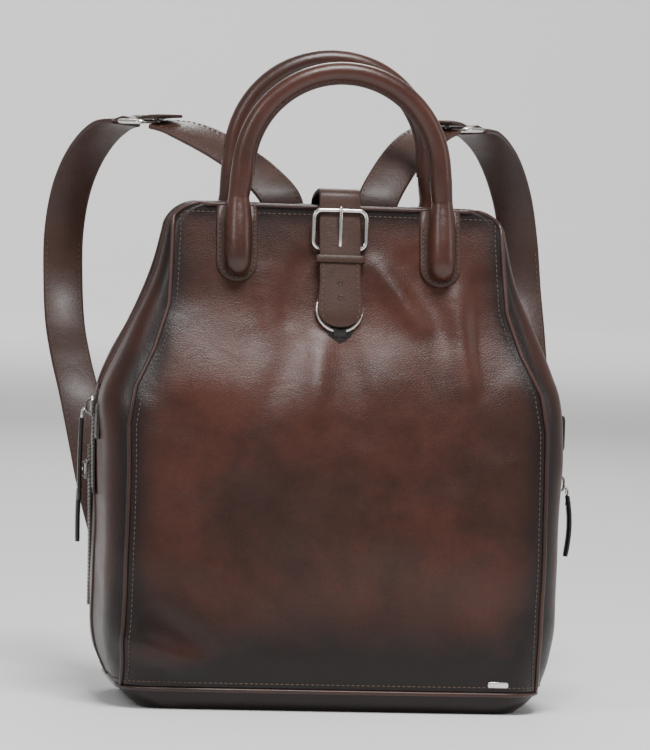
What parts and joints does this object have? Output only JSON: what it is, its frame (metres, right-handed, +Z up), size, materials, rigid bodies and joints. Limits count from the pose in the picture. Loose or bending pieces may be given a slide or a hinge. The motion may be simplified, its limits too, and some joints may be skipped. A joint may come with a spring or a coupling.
{
  "type": "leather backpack",
  "caption": "Leather backpack with a hinged frame mouth, rolled carrying handles, a buckled closure strap over the top and buckled shoulder straps.",
  "frame": {"origin": "centre of the flat base, on the surface the bag stands on", "axes": "+Z up, -Y out of the front panel with the closure strap, +X to the right seen from the front"},
  "size_m": [0.359, 0.2502, 0.4435],
  "materials": {
    "body_leather": "burnished, semi-gloss",
    "handle_leather": "burnished, semi-gloss",
    "strap_leather": "waxed, satin",
    "dark_leather": "satin",
    "lining": "cotton twill",
    "foam": "matt",
    "board": "matt",
    "zip_tape": "woven",
    "nickel": "polished nickel",
    "steel": "drawn",
    "rope": "twisted cotton"
  },
  "bodies": {
    "bag": {"base_panel": "body_leather", "base_board": "board", "front_panel_lower": "body_leather", "back_panel": "body_leather", "left_gusset": "body_leather", "right_gusset": "body_leather", "back_padding": "foam", "lining_bag": "lining", "inner_pocket": "lining", "rear_zip_tape": "zip_tape", "rear_frame_bar": "steel", "frame_pivot_pins": "steel", "mouth_fold": "body_leather", "rear_handle_tabs": "handle_leather", "rear_handle_legs": "handle_leather", "closure_strap_base": "strap_leather", "strap_yoke": "strap_leather", "left_upper_strap": "strap_leather", "right_upper_strap": "strap_leather", "left_lower_strap": "strap_leather", "right_lower_strap": "strap_leather", "left_strap_buckle": "nickel", "right_strap_buckle": "nickel", "left_lower_anchor": "strap_leather", "right_lower_anchor": "strap_leather", "left_zip_end": "zip_tape", "right_zip_end": "zip_tape", "left_zip_patch": "dark_leather", "right_zip_patch": "dark_leather", "side_zip_tape": "zip_tape", "blank_plate": "nickel"},
    "front_mouth": {"front_panel_upper": "body_leather", "left_mouth_gusset": "body_leather", "right_mouth_gusset": "body_leather", "front_zip_tape": "zip_tape", "front_frame_bar": "steel", "front_handle_tabs": "handle_leather", "front_handle_legs": "handle_leather", "snap_socket": "nickel", "closure_ring": "nickel", "ring_anchor": "strap_leather"},
    "closure": {"closure_strap": "strap_leather", "closure_buckle": "nickel", "closure_keeper": "strap_leather", "snap_stud": "nickel"},
    "closure_prong": {"closure_prong": "nickel"},
    "front_handle": {"front_handle": "handle_leather", "front_handle_core": "rope"},
    "rear_handle": {"rear_handle": "handle_leather", "rear_handle_core": "rope"},
    "left_slider": {"left_zip_slider": "nickel"},
    "right_slider": {"right_zip_slider": "nickel"},
    "side_slider": {"side_zip_slider": "nickel"},
    "left_pull": {"left_zip_pull": "dark_leather"},
    "right_pull": {"right_zip_pull": "dark_leather"},
    "side_pull": {"side_zip_pull": "dark_leather"},
    "left_prong": {"left_strap_prong": "nickel"},
    "right_prong": {"right_strap_prong": "nickel"}
  },
  "joints": [
    {"name": "closure_lift", "type": "hinge", "parent": "bag", "child": "closure", "pos_m": [0, 0.0105, 0.341], "axis": [-1, 0, 0], "range_deg": [0, 110]},
    {"name": "mouth_open", "type": "hinge", "parent": "bag", "child": "front_mouth", "pos_m": [0, 0, 0.207], "axis": [1, 0, 0], "range_deg": [0, 18.5], "deforming": ["mouth_fold"]},
    {"name": "closure_prong_swing", "type": "hinge", "parent": "closure", "child": "closure_prong", "pos_m": [0, -0.02803, 0.30832], "axis": [1, 0, 0], "range_deg": [0, 80]},
    {"name": "front_handle_fold", "type": "hinge", "parent": "front_mouth", "child": "front_handle", "pos_m": [0, -0.02724, 0.341], "axis": [1, 0, 0], "range_deg": [0, 95]},
    {"name": "rear_handle_fold", "type": "hinge", "parent": "bag", "child": "rear_handle", "pos_m": [0, 0.02724, 0.341], "axis": [-1, 0, 0], "range_deg": [0, 10]},
    {"name": "left_zip_slide", "type": "slide", "parent": "bag", "child": "left_slider", "axis": [0, 0, -1], "range_m": [0, 0.045]},
    {"name": "right_zip_slide", "type": "slide", "parent": "bag", "child": "right_slider", "axis": [0, 0, 1], "range_m": [0, 0.045]},
    {"name": "side_zip_slide", "type": "slide", "parent": "bag", "child": "side_slider", "axis": [0, 0, -1], "range_m": [0, 0.08]},
    {"name": "left_pull_swing", "type": "hinge", "parent": "left_slider", "child": "left_pull", "pos_m": [-0.1672, 0, 0.193], "axis": [0, 1, 0], "range_deg": [-2, 120]},
    {"name": "right_pull_swing", "type": "hinge", "parent": "right_slider", "child": "right_pull", "pos_m": [0.1672, 0, 0.148], "axis": [0, -1, 0], "range_deg": [-2, 120]},
    {"name": "side_pull_swing", "type": "hinge", "parent": "side_slider", "child": "side_pull", "pos_m": [-0.1646, 0.032, 0.15], "axis": [0, 1, 0], "range_deg": [-2, 120]},
    {"name": "left_prong_swing", "type": "hinge", "parent": "bag", "child": "left_prong", "pos_m": [-0.11456, 0.08973, 0.389], "axis": [0.6989, 0.7152, 0], "range_deg": [0, 100]},
    {"name": "right_prong_swing", "type": "hinge", "parent": "bag", "child": "right_prong", "pos_m": [0.08982, 0.08747, 0.39117], "axis": [0.7238, -0.6898, 0.016], "range_deg": [0, 100]}
  ],
  "couplings": [
    {"joint": "mouth_open", "follows": "closure_lift", "ratio": 0.167}
  ]
}
